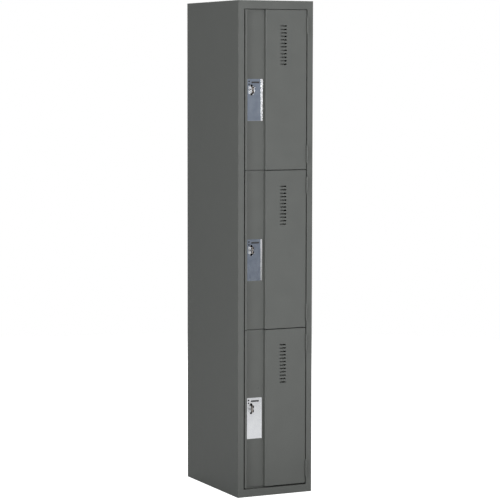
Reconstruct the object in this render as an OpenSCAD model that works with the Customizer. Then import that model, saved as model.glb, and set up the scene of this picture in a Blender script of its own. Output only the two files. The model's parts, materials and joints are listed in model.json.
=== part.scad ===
// Three-tier steel locker cabinet: sheet-metal body, welded front frame, three hinged doors
// with a full-height padlock channel, and the fittings inside. Millimetres, +Z up.
// Origin: centre of the footprint, on the floor. The doors face -Y.

/* [Cabinet] */
// Overall width
body_width = 304.8; // [290:0.1:400]
// Depth of the cabinet from the frame's face to the rivet heads at the back
body_depth = 457.2; // [350:0.1:600]
// Overall height
body_height = 1828.8; // [1700:0.1:2000]
// Thickness of side, back, top, floor and shelf sheets
body_sheet = 0.9; // [0.7:0.1:1.2]
// Width of the rear strips and of the flanges that join the body sheets
body_flange = 20; // [16:1:24]

/* [Front frame] */
// Thickness of the frame's steel
frame_sheet = 1.5; // [1.2:0.1:1.9]
// Face width of the upright on the lock side
lock_upright_width = 24; // [22:0.1:30]
// Face width of the upright on the hinge side
hinge_upright_width = 22.5; // [19:0.1:28]
// Face height of the top rail
top_rail_height = 30.8; // [26:0.1:45]
// Face height of the bottom rail
bottom_rail_height = 28.5; // [26:0.1:60]
// Depth of the stop that the doors close against
stop_depth = 22.5; // [22.3:0.1:26]
// Width of the stop beside the lock
lock_stop_width = 19.5; // [18:0.5:24]
// Width of the stop beside the hinges
hinge_stop_width = 11; // [8:0.5:14]
// Height of the stops on the rails and of half a cross rail
rail_stop_height = 20; // [14:0.5:24]

/* [Doors] */
// Thickness of the door's outer pan
door_sheet = 1.5; // [1.2:0.1:1.8]
// Thickness of the door's inner liner
liner_sheet = 0.9; // [0.7:0.1:1.0]
// Thickness of a whole door
door_thickness = 20; // [19.6:0.1:20.4]
// Inside radius of the bends in the pan and in the guard plate
bend_radius = 0.5; // [0.3:0.1:1]
// Gap beside a door's lock edge
lock_gap = 5; // [3.8:0.1:5.4]
// Gap beside a door's hinge edge
hinge_gap = 3.4; // [3.4:0.1:4.6]
// Gap above the upper door
top_gap = 2.5; // [2:0.1:6]
// Gap between one door and the next
door_gap = 3.6; // [2:0.1:6]
// Gap below the lower door
bottom_gap = 6.6; // [3:0.1:10]

/* [Door channel] */
// Width of the lip between the door's edge and the channel
lip_width = 9.5; // [9:0.1:14]
// Width of the channel's mouth
channel_width = 72.9; // [70:0.1:90]
// Depth of the channel
channel_depth = 16.5; // [16:0.1:16.8]
// How far the channel reaches under the lip, as a finger pull
lip_undercut = 4; // [0:0.1:4.5]

/* [Ventilation slots] */
// Number of slots in each door
vent_count = 12; // [4:1:24]
// Length of a slot
vent_length = 26; // [16:1:36]
// Height of a slot
vent_height = 5; // [3:0.1:7]
// Spacing of the slots
vent_pitch = 12.7; // [9:0.1:16]
// Distance from the door's top edge to the first slot
vent_drop = 58.7; // [40:0.1:80]
// Distance from the channel to the slots
vent_inset = 59.6; // [40:0.1:70]

/* [Guard plate] */
// Height of the stainless guard plate
plate_height = 153; // [120:1:240]
// Thickness of the guard plate
plate_sheet = 1.5; // [1.2:0.1:1.8]
// Width of the plate's flat part
plate_flat = 62.3; // [56:0.1:66]
// Width and rise of the plate's turned-up edge
plate_wing = [4.6, 4]; // [1:0.1:12]
// Height of the plate above the middle of the staple slot
plate_above_slot = 40.3; // [34:0.1:60]
// Width of the staple slot
slot_width = 11; // [11:0.1:13]
// Height of the staple slot
slot_height = 40.6; // [36:0.1:48]

/* [Padlock staple] */
// Thickness of the staple
staple_sheet = 3; // [2.5:0.1:3.5]
// Height of the staple's tongue and of the ears beside it
ear_height = 25; // [20:0.5:26]
// Depth below the door's face at which the staple and ears end
ear_tip_depth = 2.6; // [2:0.1:3]
// Diameter of the shackle hole
shackle_hole = 8.5; // [7:0.1:8.6]

/* [Hinges] */
// Height of a hinge
hinge_height = 62; // [50:1:80]
// Distance from a hinge to the end of its door
hinge_inset = 25; // [15:1:60]
// Number of knuckles in a hinge
knuckle_count = 5; // [3:2:7]
// Diameter of the hinge barrel
barrel_d = 8; // [7:0.1:8.4]
// Diameter of the hinge pin
pin_d = 5; // [4:0.1:5]
// Thickness of the hinge leaves
leaf_sheet = 1.3; // [1.1:0.1:1.4]
// Depth of the leaves behind the frame's face
leaf_depth = 18; // [12:0.5:18]

/* [Hidden] */
$fn = 48;

// Clearances
pin_clearance = 0.05;     // radial, between a hinge pin and the door's knuckles
knuckle_gap = 0.3;        // between one knuckle and the next
barrel_standoff = 0.5;    // between the barrel and the faces it stands in front of
cut = 1;                  // how far a cutter runs past the metal
bend_steps = 5;           // flats in a rounded bend

// Rivets: shank radius, head radius, head height, tail radius, tail length
rivet_shank_r = 1.6;
rivet_head_r = 3.6;
rivet_head_h = 1.4;
rivet_tail_r = 2.4;
rivet_tail_h = 3;
hook_rivet_r = 2;
hook_rivet_head_r = 3.8;
plate_rivet_head_r = 3.2;
plate_rivet_head_h = 1.1;
plate_rivet_r = 1.4;

// Front to back: y is the depth behind the frame's face until a placing module moves it
hinge_axis_y = -(barrel_d / 2 + barrel_standoff);
barrel_front = barrel_d + barrel_standoff;
front_face_y = barrel_front - (body_depth + barrel_front) / 2;
back_y = body_depth - rivet_head_h - body_sheet;
flange_y = back_y - body_sheet;
pan_depth = door_thickness - liner_sheet;
plate_y = channel_depth - plate_sheet;
shackle_y = ear_tip_depth + 2.35 + shackle_hole / 2;
rail_web_y = stop_depth + frame_sheet;

// Side to side
door_left = lock_upright_width + lock_gap;
door_right = body_width - hinge_upright_width - hinge_gap;
hinge_axis_x = door_right + hinge_gap / 2;
channel_left = door_left + lip_width;
channel_right = channel_left + channel_width;
plate_left = channel_left - lip_undercut + 1.7;
slot_x = channel_left + 22.5;
vent_left = channel_right + vent_inset;
stop_left = lock_upright_width + lock_stop_width;
stop_right = body_width - hinge_upright_width - hinge_stop_width;

// Bottom to top
opening_bottom = bottom_rail_height;
opening_top = body_height - top_rail_height;
door_height = (opening_top - top_gap - opening_bottom - bottom_gap - 2 * door_gap) / 3;
door_pitch = door_height + door_gap;
first_door_z = opening_bottom + bottom_gap;
slot_z = door_height / 2;
plate_top = slot_z + plate_above_slot;
knuckle_pitch = hinge_height / knuckle_count;
lower_joint_z = first_door_z + door_height + door_gap / 2;
upper_joint_z = lower_joint_z + door_pitch;

// Fittings
bumper_r = 4;
bumper_stem_r = 2;
bumper_lead = 2.2;              // how far a bumper stands in front of the stop
bumper_x = lock_upright_width + 9.5;
bumper_z = [60, door_height - 60];
catch_x = lock_upright_width + 9.5;
catch_z = 120;
catch_size = [14, 12, 46];
catch_window = [8, 30];
pole_size = [6, 11.6, 3];
pole_spacing = 20;
strike_size = [12, 1, 36];
hook_y = 190;
hook_base = [56, 20, 2];
hook_stem_r = 3.6;
hook_drop = 26;
hook_bend_r = 17;
hook_rod_r = 3;
hook_ball_r = 4.6;
hook_rivet_x = [-21, 21];
staple_base_x = lock_upright_width + 3;
staple_base_height = 40;
ear_corner_r = 3;
staple_rivet_x = lock_upright_width + 9;
staple_rivet_z = [-13, 13];
plate_rivet_x = plate_left + 14.8;
plate_rivet_drop = [9, 19.5];   // below the plate's top edge
small_hole_d = 3.2;
small_hole_x = channel_left + 52.5;
small_hole_z = plate_top + 34;
back_rivet_count = 12;
back_rivet_margin = 70;
tray_rivet_count = 3;

// Finishes
paint = [0.42, 0.43, 0.42];
inside_paint = [0.36, 0.37, 0.36];
stainless = [0.74, 0.76, 0.79];
zinc = [0.62, 0.63, 0.64];
blackened = [0.20, 0.20, 0.21];
dark_plastic = [0.16, 0.16, 0.17];
rubber_grey = [0.10, 0.10, 0.10];

// ---- Placing ----

// Cabinet coordinates: x from the left edge, y behind the frame's face, z above the floor
module cabinet() translate([-body_width / 2, front_face_y, 0]) children();

// The same with z above the bottom edge of door 0 (lower), 1 (middle) or 2 (upper)
module tier(i) cabinet() translate([0, 0, first_door_z + i * door_pitch]) children();

// ---- Sheet metal ----

function unit(v) = v / norm(v);
function left_of(v) = [-v[1], v[0]];

// Mitred direction from corner i of a bent line to the sheet's other surface
function mitre(path, i) =
    let (n = len(path),
         before = left_of(unit(i > 0 ? path[i] - path[i - 1] : path[1] - path[0])),
         after = left_of(unit(i < n - 1 ? path[i + 1] - path[i] : path[i] - path[i - 1])))
    (before + after) / (1 + before * after);

// Outline of a sheet of thickness t bent along path, on its left (t > 0) or right (t < 0)
function folded(path, t) =
    concat(path, [for (i = [len(path) - 1 : -1 : 0]) path[i] + t * mitre(path, i)]);

function turned(v, angle) =
    [v[0] * cos(angle) - v[1] * sin(angle), v[0] * sin(angle) + v[1] * cos(angle)];

// The same path with its corners rounded to suit that sheet
function rounded(path, t) =
    concat([path[0]],
           [for (i = [1 : len(path) - 2])
               let (before = unit(path[i] - path[i - 1]),
                    after = unit(path[i + 1] - path[i]),
                    turn = sign(cross(before, after)),
                    angle = acos(before * after),
                    r = bend_radius + (turn * t > 0 ? abs(t) : 0),
                    start = path[i] - r * tan(angle / 2) * before,
                    centre = start + turn * r * left_of(before))
               for (k = [0 : bend_steps])
                   centre + turned(start - centre, turn * angle * k / bend_steps)],
           [path[len(path) - 1]]);

// A plan outline raised from z0 by height
module upright(z0, height) translate([0, 0, z0]) linear_extrude(height) children();

// A (y, z) outline run from x0 to x1
module across(x0, x1) translate([x0, 0, 0]) rotate([90, 0, 90]) linear_extrude(x1 - x0) children();

// An (x, z) outline run from depth y0 to y1
module inward(y0, y1) translate([0, y1, 0]) rotate([90, 0, 0]) linear_extrude(y1 - y0) children();

module obround(width, height) {
    r = min(width, height) / 2;
    square([max(width - 2 * r, 0.001), height], center = true);
    square([width, max(height - 2 * r, 0.001)], center = true);
    for (x = [r - width / 2, width / 2 - r], z = [r - height / 2, height / 2 - r])
        translate([x, z]) circle(r);
}

// ---- Rivets ----

// Stack of discs along +Z: head, shank through the grip, tail
module rivet(grip, shank_r, head_r, head_h, tail_r, tail_h) {
    rotate_extrude()
        polygon([[0, -head_h], [head_r * 0.6, -head_h], [head_r * 0.9, -head_h * 0.55],
                 [head_r, 0], [shank_r, 0], [shank_r, grip], [tail_r, grip],
                 [tail_r * 0.85, grip + tail_h], [0, grip + tail_h]]);
}

function back_rivet_z(i) =
    back_rivet_margin + i * (body_height - 2 * back_rivet_margin) / (back_rivet_count - 1);
function tray_rivet_x(i) = body_width * (i + 1) / (tray_rivet_count + 1);

// Puts its children at every place where the back is riveted, at the back sheet
module at_back_rivets() {
    for (x = [body_flange / 2, body_width - body_flange / 2], i = [0 : back_rivet_count - 1])
        translate([x, back_y + body_sheet, back_rivet_z(i)]) rotate([90, 0, 0]) children();
    for (z = tray_tops, i = [0 : tray_rivet_count - 1])
        translate([tray_rivet_x(i), back_y + body_sheet, z - body_flange / 2])
            rotate([90, 0, 0]) children();
}

module back_rivet_holes() at_back_rivets() translate([0, 0, -cut])
    cylinder(r = rivet_shank_r, h = 2 * body_sheet + 2 * cut);

// ---- Body ----

// Heights of the top faces of the floor, both shelves and the top
tray_tops = [opening_bottom, lower_joint_z + rail_stop_height + body_sheet,
             upper_joint_z + rail_stop_height + body_sheet, body_height];
function ceiling_z(i) = tray_tops[i + 1] - body_sheet;

module left_side_panel() color(paint) cabinet() cube([body_sheet, back_y, body_height]);

module right_side_panel() color(paint) cabinet() translate([body_width - body_sheet, 0, 0])
    cube([body_sheet, back_y, body_height]);

// Upright strip welded inside a side panel's rear edge, for the back's rivets
module rear_strip(x) difference() {
    translate([x, flange_y, 0])
        cube([body_flange - body_sheet, body_sheet, body_height]);
    back_rivet_holes();
}

module left_rear_strip() color(paint) cabinet() rear_strip(body_sheet);
module right_rear_strip() color(paint) cabinet() rear_strip(body_width - body_flange);

module back_panel() color(paint) cabinet() difference() {
    translate([0, back_y, 0]) cube([body_width, body_sheet, body_height]);
    back_rivet_holes();
}

// Floor, shelf or top: a plate with flanges turned down at both sides and the back
module tray(i, front) {
    flange_front = rail_web_y + 2;
    tongue_x = body_flange + 0.5;
    tongue_width = body_width - 2 * tongue_x;
    difference() {
        translate([0, 0, tray_tops[i]]) {
            translate([body_sheet, front, -body_sheet])
                cube([body_width - 2 * body_sheet, flange_y - front, body_sheet]);
            translate([tongue_x, front, -body_sheet])
                cube([tongue_width, back_y - front, body_sheet]);
            for (x = [body_sheet, body_width - 2 * body_sheet])
                translate([x, flange_front, -body_flange])
                    cube([body_sheet, flange_y - flange_front, body_flange]);
            translate([tongue_x, flange_y, -body_flange])
                cube([tongue_width, body_sheet, body_flange]);
        }
        back_rivet_holes();
    }
}

// A tray with holes for the coat hook under it
module ceiling(i, front) difference() {
    tray(i, front);
    for (x = hook_rivet_x)
        translate([body_width / 2 + x, hook_y, tray_tops[i] - body_sheet - cut])
            cylinder(r = hook_rivet_r, h = body_sheet + 2 * cut);
}

module top_panel() color(paint) cabinet() ceiling(3, 0);
module upper_shelf() color(inside_paint) cabinet() ceiling(2, rail_web_y);
module lower_shelf() color(inside_paint) cabinet() ceiling(1, rail_web_y);
module floor_panel() color(inside_paint) cabinet() tray(0, rail_web_y);

module back_rivets() color(zinc) cabinet() at_back_rivets()
    rivet(2 * body_sheet, rivet_shank_r, rivet_head_r, rivet_head_h, rivet_tail_r, rivet_tail_h);

// ---- Front frame ----

module lock_upright() color(paint) cabinet() difference() {
    upright(0, body_height - body_sheet)
        polygon(folded([[body_sheet, rail_web_y], [body_sheet, 0], [lock_upright_width, 0],
                        [lock_upright_width, stop_depth], [stop_left, stop_depth]],
                       frame_sheet));
    for (i = [0 : 2]) translate([0, 0, first_door_z + i * door_pitch]) {
        for (z = bumper_z)
            translate([bumper_x, stop_depth - cut, z]) rotate([-90, 0, 0])
                cylinder(r = bumper_stem_r, h = frame_sheet + 2 * cut);
        for (z = staple_rivet_z)
            translate([staple_rivet_x, stop_depth - cut, slot_z + z]) rotate([-90, 0, 0])
                cylinder(r = rivet_shank_r, h = frame_sheet + 2 * cut);
        translate([catch_x - catch_window[0] / 2, stop_depth - cut, catch_z - catch_window[1] / 2])
            cube([catch_window[0], frame_sheet + 2 * cut, catch_window[1]]);
    }
}

module hinge_upright() color(paint) cabinet() upright(0, body_height - body_sheet)
    polygon(folded([[stop_right, stop_depth], [body_width - hinge_upright_width, stop_depth],
                    [body_width - hinge_upright_width, 0], [body_width - body_sheet, 0],
                    [body_width - body_sheet, rail_web_y]], frame_sheet));

// A rail's (y, z) bend line runs along its hem, its face and its return behind the opening
module rail(path, t, stop_z) {
    across(lock_upright_width, body_width - hinge_upright_width) polygon(folded(path, t));
    translate([stop_left, stop_depth, stop_z])
        cube([stop_right - stop_left, frame_sheet, rail_stop_height]);
}

module bottom_rail() color(paint) cabinet()
    rail([[stop_depth, 0], [0, 0], [0, opening_bottom], [stop_depth, opening_bottom]],
         -frame_sheet, opening_bottom - frame_sheet);

module top_rail() color(paint) cabinet()
    rail([[stop_depth, body_height - body_sheet], [0, body_height - body_sheet],
          [0, opening_top], [stop_depth, opening_top]],
         frame_sheet, opening_top + frame_sheet - rail_stop_height);

// Channel behind the gap between two doors, welded to the back of the stops
module cross_rail(joint_z) {
    back = rail_web_y + body_flange;
    across(lock_upright_width, body_width - hinge_upright_width)
        polygon(folded([[back, joint_z - rail_stop_height], [rail_web_y, joint_z - rail_stop_height],
                        [rail_web_y, joint_z + rail_stop_height],
                        [back, joint_z + rail_stop_height]], -frame_sheet));
}

module lower_cross_rail() color(paint) cabinet() cross_rail(lower_joint_z);
module upper_cross_rail() color(paint) cabinet() cross_rail(upper_joint_z);

// ---- Padlock staple ----

// (y, z) outline that runs from y = base forward to the ear's tip, centred on z = 0
module ear_outline(base) {
    translate([ear_tip_depth + ear_corner_r, -ear_height / 2])
        square([base - ear_tip_depth - ear_corner_r, ear_height]);
    translate([ear_tip_depth, ear_corner_r - ear_height / 2])
        square([base - ear_tip_depth, ear_height - 2 * ear_corner_r]);
    for (z = [ear_corner_r - ear_height / 2, ear_height / 2 - ear_corner_r])
        translate([ear_tip_depth + ear_corner_r, z]) circle(ear_corner_r);
}

module shackle_hole_cut(x0, x1) translate([x0 - cut, shackle_y, 0]) rotate([0, 90, 0])
    cylinder(d = shackle_hole, h = x1 - x0 + 2 * cut);

module staple() translate([0, 0, slot_z]) {
    tongue_x = slot_x - staple_sheet / 2;
    back = rail_web_y + staple_sheet;
    difference() {
        union() {
            translate([staple_base_x, rail_web_y, -staple_base_height / 2])
                cube([tongue_x + staple_sheet - staple_base_x, staple_sheet, staple_base_height]);
            across(tongue_x, tongue_x + staple_sheet) ear_outline(back);
        }
        shackle_hole_cut(tongue_x, tongue_x + staple_sheet);
        for (z = staple_rivet_z)
            translate([staple_rivet_x, rail_web_y - cut, z]) rotate([-90, 0, 0])
                cylinder(r = rivet_shank_r, h = staple_sheet + 2 * cut);
    }
}

module staple_rivets() color(zinc) for (i = [0 : 2]) tier(i) for (z = staple_rivet_z)
    translate([staple_rivet_x, stop_depth, slot_z + z]) rotate([-90, 0, 0])
        rivet(frame_sheet + staple_sheet, rivet_shank_r, rivet_head_r, rivet_head_h,
              rivet_tail_r, rivet_tail_h);

module upper_staple() color(zinc) tier(2) staple();
module middle_staple() color(zinc) tier(1) staple();
module lower_staple() color(zinc) tier(0) staple();

// ---- Door buffers and magnetic catches ----

module door_bumpers() color(rubber_grey) for (i = [0 : 2]) tier(i) for (z = bumper_z)
    translate([bumper_x, stop_depth, z]) rotate([-90, 0, 0])
        rivet(frame_sheet, bumper_stem_r, bumper_r, bumper_lead, bumper_stem_r * 1.5, 3);

module pole_pair() for (z = [-pole_spacing / 2, pole_spacing / 2])
    translate([catch_x - pole_size[0] / 2, strike_size[1] + door_thickness + 0.4,
               catch_z + z - pole_size[2] / 2])
        cube(pole_size);

module catch_housing() difference() {
    translate([catch_x - catch_size[0] / 2, rail_web_y, catch_z - catch_size[2] / 2])
        cube(catch_size);
    pole_pair();
}

module upper_catch_housing() color(dark_plastic) tier(2) catch_housing();
module middle_catch_housing() color(dark_plastic) tier(1) catch_housing();
module lower_catch_housing() color(dark_plastic) tier(0) catch_housing();

module upper_catch_poles() color(zinc) tier(2) pole_pair();
module middle_catch_poles() color(zinc) tier(1) pole_pair();
module lower_catch_poles() color(zinc) tier(0) pole_pair();

// ---- Coat hooks ----

// Double-prong hook hanging from z = 0
module coat_hook() {
    difference() {
        translate([-hook_base[0] / 2, -hook_base[1] / 2, -hook_base[2]]) cube(hook_base);
        for (x = hook_rivet_x) translate([x, 0, -hook_base[2] - cut])
            cylinder(r = hook_rivet_r, h = hook_base[2] + 2 * cut);
    }
    translate([0, 0, -hook_drop]) cylinder(r = hook_stem_r, h = hook_drop - hook_base[2]);
    translate([0, 0, -hook_drop]) sphere(hook_stem_r);
    for (side = [0, 180]) rotate([0, 0, side]) translate([hook_bend_r, 0, -hook_drop]) {
        rotate([90, 0, 0]) rotate([0, 0, 180]) rotate_extrude(angle = 150)
            translate([hook_bend_r, 0]) circle(hook_rod_r);
        rotate([0, 30, 0]) translate([hook_bend_r, 0, 0]) sphere(hook_ball_r);
    }
}

module hang(i) cabinet() translate([body_width / 2, hook_y, ceiling_z(i)]) children();

module upper_coat_hook() color(zinc) hang(2) coat_hook();
module middle_coat_hook() color(zinc) hang(1) coat_hook();
module lower_coat_hook() color(zinc) hang(0) coat_hook();

module hook_rivets() color(zinc) for (i = [0 : 2]) hang(i) for (x = hook_rivet_x)
    translate([x, 0, -hook_base[2]])
        rivet(hook_base[2] + body_sheet, hook_rivet_r, hook_rivet_head_r, rivet_head_h,
              hook_rivet_r, 0);

// ---- Hinges ----

module at_hinges() for (z = [hinge_inset, door_height - hinge_inset - hinge_height])
    translate([hinge_axis_x, hinge_axis_y, z]) children();

// Half a hinge: knuckles first, first + 2, ... and the leaf on the side given by dir
module hinge_half(first, dir) {
    leaf_gap = hinge_gap / 2 - leaf_sheet;
    leaf_end = leaf_depth - hinge_axis_y;
    root_y = barrel_d / 2 - 1;
    leaf_x = dir > 0 ? leaf_gap : -leaf_gap - leaf_sheet;
    difference() {
        union() {
            translate([leaf_x, -hinge_axis_y, 0])
                cube([leaf_sheet, leaf_depth, hinge_height]);
            for (k = [first : 2 : knuckle_count - 1])
                translate([0, 0, k * knuckle_pitch + knuckle_gap / 2]) {
                    cylinder(d = barrel_d, h = knuckle_pitch - knuckle_gap);
                    translate([leaf_x, root_y, 0])
                        cube([leaf_sheet, leaf_end - root_y, knuckle_pitch - knuckle_gap]);
                }
        }
        translate([0, 0, -cut])
            cylinder(r = pin_d / 2 + pin_clearance, h = hinge_height + 2 * cut);
    }
}

module frame_hinge_leaves() at_hinges() hinge_half(0, 1);
module door_hinge_leaves() at_hinges() hinge_half(1, -1);

module hinge_pins() at_hinges() {
    low = knuckle_gap / 2;
    high = hinge_height - knuckle_gap / 2;
    head_h = 1.2;
    head_r = pin_d / 2 + 0.9;
    rotate_extrude()
        polygon([[0, low - head_h], [head_r - 0.6, low - head_h], [head_r, low - 0.5],
                 [head_r, low], [pin_d / 2, low], [pin_d / 2, high], [head_r, high],
                 [head_r, high + 0.5], [head_r - 0.6, high + head_h], [0, high + head_h]]);
}

module upper_frame_hinge_leaves() color(paint) tier(2) frame_hinge_leaves();
module middle_frame_hinge_leaves() color(paint) tier(1) frame_hinge_leaves();
module lower_frame_hinge_leaves() color(paint) tier(0) frame_hinge_leaves();

module upper_hinge_pins() color(paint) tier(2) hinge_pins();
module middle_hinge_pins() color(paint) tier(1) hinge_pins();
module lower_hinge_pins() color(paint) tier(0) hinge_pins();

module upper_door_hinge_leaves() color(paint) tier(2) door_hinge_leaves();
module middle_door_hinge_leaves() color(paint) tier(1) door_hinge_leaves();
module lower_door_hinge_leaves() color(paint) tier(0) door_hinge_leaves();

// ---- Doors ----

// Outer face of the door's pan: left edge, lip, channel, main panel, right edge
pan_face = rounded([[door_left, pan_depth], [door_left, 0], [channel_left, 0],
                    [channel_left - lip_undercut, channel_depth], [channel_right, channel_depth],
                    [channel_right, 0], [door_right, 0], [door_right, pan_depth]], door_sheet);

module vents(left, y0, y1) for (i = [0 : vent_count - 1])
    translate([left + vent_length / 2, 0, door_height - vent_drop - i * vent_pitch])
        inward(y0 - cut, y1 + cut) obround(vent_length, vent_height);

module staple_slot(margin, y0, y1) translate([slot_x, 0, slot_z])
    inward(y0 - cut, y1 + cut) obround(slot_width + 2 * margin, slot_height + 2 * margin);

// Hole through the channel and the liner, above the guard plate
module small_hole(y0, y1) translate([small_hole_x, y0 - cut, small_hole_z]) rotate([-90, 0, 0])
    cylinder(d = small_hole_d, h = y1 - y0 + 2 * cut);

module door_panel() difference() {
    union() {
        upright(0, door_height) polygon(folded(pan_face, door_sheet));
        for (z = [0, door_height - door_sheet]) upright(z, door_sheet) polygon(pan_face);
    }
    vents(vent_left, 0, door_sheet);
    staple_slot(2, channel_depth, channel_depth + door_sheet);
    at_plate_rivets() cylinder(r = plate_rivet_r, h = door_sheet + cut);
    small_hole(channel_depth, channel_depth + door_sheet);
}

module door_liner() difference() {
    translate([door_left, pan_depth, 0])
        cube([door_right - door_left, liner_sheet, door_height]);
    vents(vent_left + vent_length, pan_depth, door_thickness);
    staple_slot(4, pan_depth, door_thickness);
    small_hole(pan_depth, door_thickness);
}

// Guard plate: flat behind the padlock, with a turned-up edge and an ear each side of the slot
module guard_plate() {
    fold_x = plate_left + plate_flat;
    ear_x = [slot_x - slot_width / 2 - plate_sheet, slot_x + slot_width / 2];
    difference() {
        upright(plate_top - plate_height, plate_height)
            polygon(folded(rounded([[plate_left, plate_y], [fold_x, plate_y],
                                    [fold_x + plate_wing[0], plate_y - plate_wing[1]]],
                                   plate_sheet), plate_sheet));
        staple_slot(0, plate_y, channel_depth);
        translate([0, -plate_sheet, 0]) at_plate_rivets()
            cylinder(r = plate_rivet_r, h = plate_sheet + cut);
    }
    for (x = ear_x) translate([0, 0, slot_z]) difference() {
        across(x, x + plate_sheet) ear_outline(channel_depth);
        shackle_hole_cut(x, x + plate_sheet);
    }
}

module at_plate_rivets() for (drop = plate_rivet_drop)
    translate([plate_rivet_x, channel_depth, plate_top - drop]) rotate([-90, 0, 0]) children();

module plate_rivets() translate([0, -plate_sheet, 0]) at_plate_rivets()
    rivet(plate_sheet + door_sheet, plate_rivet_r, plate_rivet_head_r, plate_rivet_head_h,
          plate_rivet_r, 0);

module strike() translate([catch_x - strike_size[0] / 2 + 1, door_thickness,
                           catch_z - strike_size[2] / 2])
    cube(strike_size);

module upper_door_panel() color(paint) tier(2) door_panel();
module middle_door_panel() color(paint) tier(1) door_panel();
module lower_door_panel() color(paint) tier(0) door_panel();

module upper_door_liner() color(inside_paint) tier(2) door_liner();
module middle_door_liner() color(inside_paint) tier(1) door_liner();
module lower_door_liner() color(inside_paint) tier(0) door_liner();

module upper_guard_plate() color(stainless) tier(2) guard_plate();
module middle_guard_plate() color(stainless) tier(1) guard_plate();
module lower_guard_plate() color(stainless) tier(0) guard_plate();

module upper_plate_rivets() color(blackened) tier(2) plate_rivets();
module middle_plate_rivets() color(blackened) tier(1) plate_rivets();
module lower_plate_rivets() color(blackened) tier(0) plate_rivets();

module upper_strike() color(zinc) tier(2) strike();
module middle_strike() color(zinc) tier(1) strike();
module lower_strike() color(zinc) tier(0) strike();

// ---- Assembly ----

left_side_panel();
right_side_panel();
left_rear_strip();
right_rear_strip();
back_panel();
top_panel();
floor_panel();
lower_shelf();
upper_shelf();
lock_upright();
hinge_upright();
top_rail();
bottom_rail();
lower_cross_rail();
upper_cross_rail();
back_rivets();
hook_rivets();
staple_rivets();
door_bumpers();
upper_staple();
middle_staple();
lower_staple();
upper_catch_housing();
middle_catch_housing();
lower_catch_housing();
upper_catch_poles();
middle_catch_poles();
lower_catch_poles();
upper_coat_hook();
middle_coat_hook();
lower_coat_hook();
upper_frame_hinge_leaves();
middle_frame_hinge_leaves();
lower_frame_hinge_leaves();
upper_hinge_pins();
middle_hinge_pins();
lower_hinge_pins();
upper_door_panel();
middle_door_panel();
lower_door_panel();
upper_door_liner();
middle_door_liner();
lower_door_liner();
upper_guard_plate();
middle_guard_plate();
lower_guard_plate();
upper_plate_rivets();
middle_plate_rivets();
lower_plate_rivets();
upper_door_hinge_leaves();
middle_door_hinge_leaves();
lower_door_hinge_leaves();
upper_strike();
middle_strike();
lower_strike();
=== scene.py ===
"""Looks of the three-tier locker cabinet: grey enamelled sheet steel, satin stainless guard plates
and zinc-plated fittings, in a plain white studio.

Lengths are in metres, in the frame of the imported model: +Z is up and the doors face -Y."""

import json
import math

import bmesh
import bpy
from mathutils import Matrix, Vector


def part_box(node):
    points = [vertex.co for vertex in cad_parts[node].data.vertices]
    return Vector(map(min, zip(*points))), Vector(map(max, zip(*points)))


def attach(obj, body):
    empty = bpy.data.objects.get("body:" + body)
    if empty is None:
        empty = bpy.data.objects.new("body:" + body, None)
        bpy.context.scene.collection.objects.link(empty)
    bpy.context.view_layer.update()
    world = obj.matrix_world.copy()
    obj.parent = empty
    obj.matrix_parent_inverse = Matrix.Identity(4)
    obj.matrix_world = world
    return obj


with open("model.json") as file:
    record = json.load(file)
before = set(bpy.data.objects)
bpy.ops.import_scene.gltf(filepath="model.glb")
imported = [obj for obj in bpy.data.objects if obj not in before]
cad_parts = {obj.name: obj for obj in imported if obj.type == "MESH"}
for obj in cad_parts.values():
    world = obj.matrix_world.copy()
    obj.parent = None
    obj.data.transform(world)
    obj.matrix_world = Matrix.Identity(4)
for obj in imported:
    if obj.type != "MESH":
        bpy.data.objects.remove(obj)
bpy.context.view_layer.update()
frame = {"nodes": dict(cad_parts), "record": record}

MM = 0.001
NODES = frame["nodes"]
TIERS = ("upper", "middle", "lower")
BLACK = (0.0, 0.0, 0.0)
WHITE = (1.0, 1.0, 1.0)


# ---------------------------------------------------------------- node helpers

NOISE_LOW, NOISE_HIGH = 0.3, 0.7            # most of a noise texture's values lie between these
MIX_FACTOR, MIX_A, MIX_B = 0, 6, 7          # inputs of a Mix node that mixes colours
MIX_COLOUR = 2                              # and its output


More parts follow.
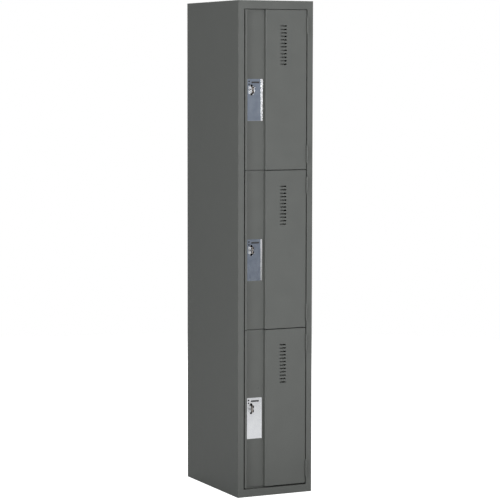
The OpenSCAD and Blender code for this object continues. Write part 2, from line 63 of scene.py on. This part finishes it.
class Tree:
    """A material or world node tree with short calls for adding and joining nodes."""

    def __init__(self, owner):
        self.tree = owner.node_tree
        self.tree.nodes.clear()

    def add(self, kind, **settings):
        node = self.tree.nodes.new(kind)
        for name, value in settings.items():
            setattr(node, name, value)
        return node

    def put(self, node, **inputs):
        """Sets or joins a node's inputs, named with _ for a space."""
        for name, value in inputs.items():
            self.feed(node.inputs[name.replace("_", " ")], value)
        return node

    def feed(self, socket, value):
        """Joins a socket to another node's output, or sets it to a plain value."""
        if isinstance(value, bpy.types.NodeSocket):
            self.tree.links.new(value, socket)
        else:
            socket.default_value = value

    def object_coords(self, scale=(1, 1, 1)):
        coords = self.add("ShaderNodeTexCoord")
        mapping = self.add("ShaderNodeMapping")
        self.put(mapping, Vector=coords.outputs["Object"], Scale=scale)
        return mapping.outputs["Vector"]

    def axis(self, vector, name):
        """One coordinate of a vector."""
        node = self.put(self.add("ShaderNodeSeparateXYZ"), Vector=vector)
        return node.outputs[name]

    def camera_ray(self):
        """1 for what the camera sees directly, 0 in reflections and bounced light."""
        return self.add("ShaderNodeLightPath").outputs["Is Camera Ray"]

    def noise(self, vector, scale, detail=2.0, roughness=0.5):
        """Noise with about that many blotches to a metre."""
        node = self.add("ShaderNodeTexNoise")
        self.put(node, Vector=vector, Scale=scale, Detail=detail, Roughness=roughness)
        return node.outputs["Fac"]

    def remap(self, value, low, high, to_low, to_high):
        node = self.add("ShaderNodeMapRange")
        self.put(node, Value=value, From_Min=low, From_Max=high, To_Min=to_low, To_Max=to_high)
        return node.outputs["Result"]

    def spread(self, noise, to_low, to_high):
        """Stretches a noise's usual values over a range."""
        return self.remap(noise, NOISE_LOW, NOISE_HIGH, to_low, to_high)

    def mix(self, factor, a, b):
        node = self.add("ShaderNodeMix", data_type="RGBA")
        for index, value in ((MIX_FACTOR, factor), (MIX_A, a), (MIX_B, b)):
            self.feed(node.inputs[index], value)
        return node.outputs[MIX_COLOUR]

    def clouded(self, noise, a, b):
        """Fades between two plain colours along a noise's usual values."""
        return self.mix(self.spread(noise, 0.0, 1.0), rgba(a), rgba(b))

    def math(self, operation, a, b):
        node = self.add("ShaderNodeMath", operation=operation)
        self.feed(node.inputs[0], a)
        self.feed(node.inputs[1], b)
        return node.outputs[0]

    def bump(self, height, depth, strength):
        node = self.add("ShaderNodeBump")
        self.put(node, Height=height, Distance=depth, Strength=strength)
        return node.outputs["Normal"]

    def surface(self, **inputs):
        """Principled surface joined to the output."""
        shader = self.put(self.add("ShaderNodeBsdfPrincipled"), **inputs)
        self.put(self.add("ShaderNodeOutputMaterial"), Surface=shader.outputs[0])


def new_material(name):
    material = bpy.data.materials.new(name)
    material.use_nodes = True
    return material, Tree(material)


def rgba(colour):
    return (*colour, 1.0)


def grey(level):
    return (level, level, level)


def shade(colour, factor):
    """A colour made darker or lighter."""
    return tuple(c * factor for c in colour)


# ---------------------------------------------------------------- materials

def enamel(name, colour):
    """Baked enamel: satin, with faint clouds, fine darker specks and an orange peel."""
    material, tree = new_material(name)
    coords = tree.object_coords()
    clouds = tree.noise(coords, scale=14.0, detail=3.0)
    specks = tree.noise(coords, scale=1300.0, detail=1.0)
    base = tree.clouded(clouds, shade(colour, 0.97), shade(colour, 1.03))
    base = tree.mix(tree.remap(specks, 0.45, 0.8, 0.0, 0.25), base, rgba(shade(colour, 0.6)))
    peel = tree.noise(coords, scale=480.0)
    tree.surface(Base_Color=base, Specular_IOR_Level=0.35,
                 Roughness=tree.spread(clouds, 0.40, 0.46),
                 Normal=tree.bump(peel, depth=0.05 * MM, strength=0.6))
    return material


def stainless(name):
    """Satin-polished stainless steel with a fine vertical grain."""
    material, tree = new_material(name)
    upright = (1.0, 1.0, 0.012)             # draws the grain out along Z
    grain = tree.noise(tree.object_coords(upright), scale=2600.0, roughness=0.6)
    clouds = tree.noise(tree.object_coords(), scale=38.0, detail=3.0)
    roughness = tree.math("ADD", tree.spread(grain, 0.10, 0.17), tree.spread(clouds, 0.0, 0.05))
    tree.surface(Base_Color=tree.clouded(clouds, (0.60, 0.61, 0.63), (0.68, 0.69, 0.70)),
                 Metallic=1.0, Roughness=roughness,
                 Normal=tree.bump(grain, depth=0.012 * MM, strength=0.5))
    return material


def zinc(name, dull, bright):
    """Zinc plate with a faint spangle, clouded between two shades."""
    material, tree = new_material(name)
    coords = tree.object_coords()
    spangle = tree.put(tree.add("ShaderNodeTexVoronoi"), Vector=coords, Scale=420.0)
    clouds = tree.noise(coords, scale=160.0, detail=3.0)
    tree.surface(Base_Color=tree.clouded(clouds, dull, bright), Metallic=1.0,
                 Roughness=tree.remap(spangle.outputs["Distance"], 0.0, 0.8, 0.26, 0.42),
                 Normal=tree.bump(clouds, depth=0.03 * MM, strength=0.5))
    return material


def marking(name):
    """Dark print on the stainless steel, worn thinner in places."""
    material, tree = new_material(name)
    wear = tree.noise(tree.object_coords(), scale=620.0, detail=3.0, roughness=0.6)
    base = tree.mix(tree.remap(wear, 0.35, 0.7, 0.0, 1.0), rgba((0.012, 0.012, 0.014)),
                    rgba((0.035, 0.034, 0.036)))
    tree.surface(Base_Color=base, Roughness=tree.spread(wear, 0.35, 0.5),
                 Normal=tree.bump(wear, depth=0.01 * MM, strength=0.5))
    return material


def moulded(name, colour, roughness, grain_scale, grain_depth):
    """Matt plastic, rubber or blackening with a fine grain."""
    material, tree = new_material(name)
    grain = tree.noise(tree.object_coords(), grain_scale, detail=3.0)
    tree.surface(Base_Color=tree.clouded(grain, colour, shade(colour, 1.5)),
                 Roughness=tree.spread(grain, roughness - 0.08, roughness + 0.08),
                 Normal=tree.bump(grain, grain_depth, strength=0.6))
    return material


MATERIALS = {
    "grey_enamel": enamel("grey_enamel", colour=(0.100, 0.104, 0.098)),
    "stainless": stainless("satin_stainless"),
    "zinc_steel": zinc("zinc_plate", dull=(0.46, 0.47, 0.48), bright=(0.60, 0.61, 0.61)),
    "dull_zinc": zinc("dull_zinc_plate", dull=(0.34, 0.30, 0.27), bright=(0.46, 0.41, 0.37)),
    "black_steel": moulded("blackened_steel", (0.006, 0.0055, 0.0055), roughness=0.68,
                           grain_scale=700.0, grain_depth=0.02 * MM),
    "dark_plastic": moulded("dark_plastic", (0.020, 0.020, 0.022), roughness=0.5,
                            grain_scale=900.0, grain_depth=0.03 * MM),
    "plate_mark": marking("plate_mark"),
    "rubber": moulded("rubber", (0.012, 0.012, 0.012), roughness=0.75,
                      grain_scale=1400.0, grain_depth=0.05 * MM),
}


# ---------------------------------------------------------------- finish of the CAD pieces

BEVELS = {                      # mm, width of the rounded edge by the last word of a node's name
    "rivets": 0.25, "pins": 0.25, "leaves": 0.35, "plate": 0.35, "staple": 0.5,
    "hook": 0.5, "housing": 0.8, "poles": 0.25, "strike": 0.2, "bumpers": 0.4,
}
SHEET_BEVEL = 0.4               # mm, for every other node
WELD_DISTANCE = 0.002           # mm, joins the triangles' common corners
FLAT_ANGLE = 0.5                # degrees, below which neighbouring triangles make one face
CREASE_ANGLE = 28               # degrees, above which an edge is rounded


def dress(node, material):
    """Gives a CAD node its material and rounds its edges, leaving its mesh as it is."""
    piece = NODES[node]
    piece.data.materials.clear()
    piece.data.materials.append(material)
    weld = piece.modifiers.new("weld", "WELD")
    weld.merge_threshold = WELD_DISTANCE * MM
    flats = piece.modifiers.new("flats", "DECIMATE")
    flats.decimate_type = "DISSOLVE"
    flats.angle_limit = math.radians(FLAT_ANGLE)
    edges = piece.modifiers.new("edges", "BEVEL")
    edges.width = BEVELS.get(node.rsplit("_", 1)[-1], SHEET_BEVEL) * MM
    edges.segments = 2
    edges.limit_method = "ANGLE"
    edges.angle_limit = math.radians(CREASE_ANGLE)
    faces = piece.modifiers.new("faces", "WEIGHTED_NORMAL")
    faces.keep_sharp = True


for part in frame["record"]["subparts"]:
    # the staples' plating is duller than the rivets' and hooks'
    finish = "dull_zinc" if part["node"].endswith("_staple") else part["material_slot"]
    dress(part["node"], MATERIALS[finish])


# ---------------------------------------------------------------- marks on the guard plates

MARK_SIZE = (32.0, 0.3, 6.2)    # mm, width, thickness and height
MARK_DROP = 12.7                # mm, from the plate's top edge to the mark's middle
MARK_INSET = 40.3               # mm, from the plate's left edge to the mark's middle
MARK_BEVEL = 0.1                # mm
PLATE_SHEET = 1.5               # mm, from the plate's rear face to its flat front face


def plate_mark(tier):
    """Plain dark bar near the top of a guard plate, laid on its flat part."""
    low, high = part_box(tier + "_guard_plate")
    width, thickness, height = (size * MM for size in MARK_SIZE)
    mesh = bpy.data.meshes.new(tier + "_plate_mark")
    shape = bmesh.new()
    bmesh.ops.create_cube(shape, size=1.0)
    bmesh.ops.scale(shape, verts=shape.verts, vec=(width, thickness, height))
    bmesh.ops.bevel(shape, geom=shape.edges, offset=MARK_BEVEL * MM, segments=2,
                    affect="EDGES")
    shape.to_mesh(mesh)
    shape.free()
    mesh.materials.append(MATERIALS["plate_mark"])
    bar = bpy.data.objects.new(tier + "_plate_mark", mesh)
    bpy.context.scene.collection.objects.link(bar)
    bar.location = (low.x + MARK_INSET * MM, high.y - PLATE_SHEET * MM - thickness / 2,
                    high.z - MARK_DROP * MM)
    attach(bar, tier + "_door")


for tier in TIERS:
    plate_mark(tier)


# ---------------------------------------------------------------- studio

def around(azimuth, distance, height):
    """Point at that height. Its azimuth is in degrees from straight in front of the doors,
    positive towards the right."""
    angle = math.radians(azimuth)
    return (distance * math.sin(angle), -distance * math.cos(angle), height)


def softbox(name, place, target, width, height, radiance, colour=WHITE):
    """Rectangular light that is even over its face, and which the camera doesn't see."""
    light = bpy.data.lights.new(name, "AREA")
    light.shape = "RECTANGLE"
    light.size = width
    light.size_y = height
    light.energy = radiance * math.pi * width * height
    light.color = colour
    lamp = bpy.data.objects.new(name, light)
    bpy.context.scene.collection.objects.link(lamp)
    lamp.location = place
    lamp.rotation_euler = (Vector(target) - Vector(place)).to_track_quat("-Z", "Y").to_euler()
    lamp.visible_camera = False


POOL_START = (0.6, 1.4)         # distances from the middle between which the pool brightens
POOL_END = (1.4, 2.7)           # and those over which it dims again
POOL_DIM = 0.5                  # to this part of its brightness
POOL_FRONT = (0.3, -0.7)        # Y between which the pool comes up, towards the front


def floor(radius, fade, glow):
    """Pale round floor that fades out at its rim. The camera sees it white; the cabinet gets
    the light of a glowing pool in front of the doors."""
    mesh = bpy.data.meshes.new("floor")
    shape = bmesh.new()
    bmesh.ops.create_circle(shape, cap_ends=True, segments=96, radius=radius)
    shape.to_mesh(mesh)
    shape.free()
    disc = bpy.data.objects.new("floor", mesh)
    bpy.context.scene.collection.objects.link(disc)
    material, tree = new_material("pale_floor")
    mesh.materials.append(material)
    coords = tree.object_coords()
    distance = tree.put(tree.add("ShaderNodeVectorMath", operation="LENGTH"), Vector=coords)
    away = distance.outputs["Value"]
    mottle = tree.noise(coords, scale=2.0, detail=3.0)
    pool = tree.math("MULTIPLY", tree.remap(away, *POOL_START, 0.0, glow),
                     tree.remap(away, *POOL_END, 1.0, POOL_DIM))
    pool = tree.math("MULTIPLY", pool,
                     tree.remap(tree.axis(coords, "Y"), *POOL_FRONT, 0.0, 1.0))
    tree.surface(Base_Color=tree.mix(mottle, rgba(grey(0.43)), rgba(grey(0.47))),
                 Roughness=0.7, Specular_IOR_Level=0.0, Emission_Color=rgba(WHITE),
                 Emission_Strength=tree.math("MAXIMUM", pool, tree.camera_ray()),
                 Alpha=tree.remap(away, radius - fade, radius, 1.0, 0.0))


RECESS_EDGE = (0.93, 0.975)     # cosines of the angle from its middle over which it blends in
RECESS_FOOT = (-0.09, -0.01)    # heights of view between which its lower part lightens
RECESS_DARK = 0.74              # brightness of that lower part


def surround(room, recess, azimuth):
    """White to the camera; in reflections a dim room with a cool recess at that azimuth."""
    world = bpy.data.worlds.new("studio")
    world.use_nodes = True
    bpy.context.scene.world = world
    tree = Tree(world)
    direction = tree.add("ShaderNodeTexCoord").outputs["Generated"]
    facing = tree.add("ShaderNodeVectorMath", operation="DOT_PRODUCT")
    tree.feed(facing.inputs[0], direction)
    tree.feed(facing.inputs[1], around(azimuth, 1.0, 0.0))
    inside = tree.remap(facing.outputs["Value"], *RECESS_EDGE, 0.0, 1.0)
    light = tree.remap(tree.axis(direction, "Z"), *RECESS_FOOT, RECESS_DARK, 1.0)
    deep = tree.mix(light, rgba(BLACK), rgba(recess))
    reflected = tree.mix(inside, rgba(room), deep)
    colour = tree.mix(tree.camera_ray(), reflected, rgba(WHITE))
    background = tree.put(tree.add("ShaderNodeBackground"), Color=colour)
    tree.put(tree.add("ShaderNodeOutputWorld"), Surface=background.outputs[0])


MIDDLE = (0, 0, 0.95)           # what the broad lights are turned to

floor(radius=4.6, fade=1.6, glow=0.78)
surround(room=grey(0.30), recess=(0.265, 0.305, 0.375), azimuth=25.6)
softbox("front", around(azimuth=-6, distance=5.5, height=2.1), MIDDLE,
        width=2.6, height=1.6, radiance=13.4)
softbox("left", around(azimuth=-63, distance=7.0, height=3.9), MIDDLE,
        width=3.6, height=2.8, radiance=7.5, colour=(0.96, 1.0, 1.01))
softbox("wing_strip", around(azimuth=-56, distance=4.0, height=1.42), (0, 0, 1.42),
        width=1.0, height=1.75, radiance=0.82)
softbox("ear_strip", around(azimuth=-25.6, distance=5.5, height=1.0), (0, 0, 1.0),
        width=1.6, height=1.7, radiance=0.8)
softbox("back", around(azimuth=160, distance=4.5, height=3.2), MIDDLE,
        width=2.4, height=2.4, radiance=7.0)


# ---------------------------------------------------------------- camera

SENSOR_WIDTH = 36.0             # mm
CLIP_END = 100.0


def camera(stand, turn, tilt, roll, lens):
    """Camera placed from the frame's front left corner at floor level. The angles are in
    degrees: turned right from looking along +Y, tilted up from level, and rolled."""
    corner = Vector((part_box("left_side_panel")[0].x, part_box("lock_upright")[0].y, 0.0))
    data = bpy.data.cameras.new("camera")
    data.lens = lens
    data.sensor_width = SENSOR_WIDTH
    data.clip_end = CLIP_END
    view = bpy.data.objects.new("camera", data)
    bpy.context.scene.collection.objects.link(view)
    aim = (Matrix.Rotation(math.radians(-turn), 4, "Z")
           @ Matrix.Rotation(math.radians(90.0 + tilt), 4, "X")
           @ Matrix.Rotation(math.radians(roll), 4, "Z"))
    view.matrix_world = Matrix.Translation(corner + Vector(stand)) @ aim
    bpy.context.scene.camera = view


camera(stand=(-3.222, -6.823, 1.567), turn=25.61, tilt=-4.90, roll=0.09, lens=149.1)
bpy.context.scene.view_settings.view_transform = "Standard"
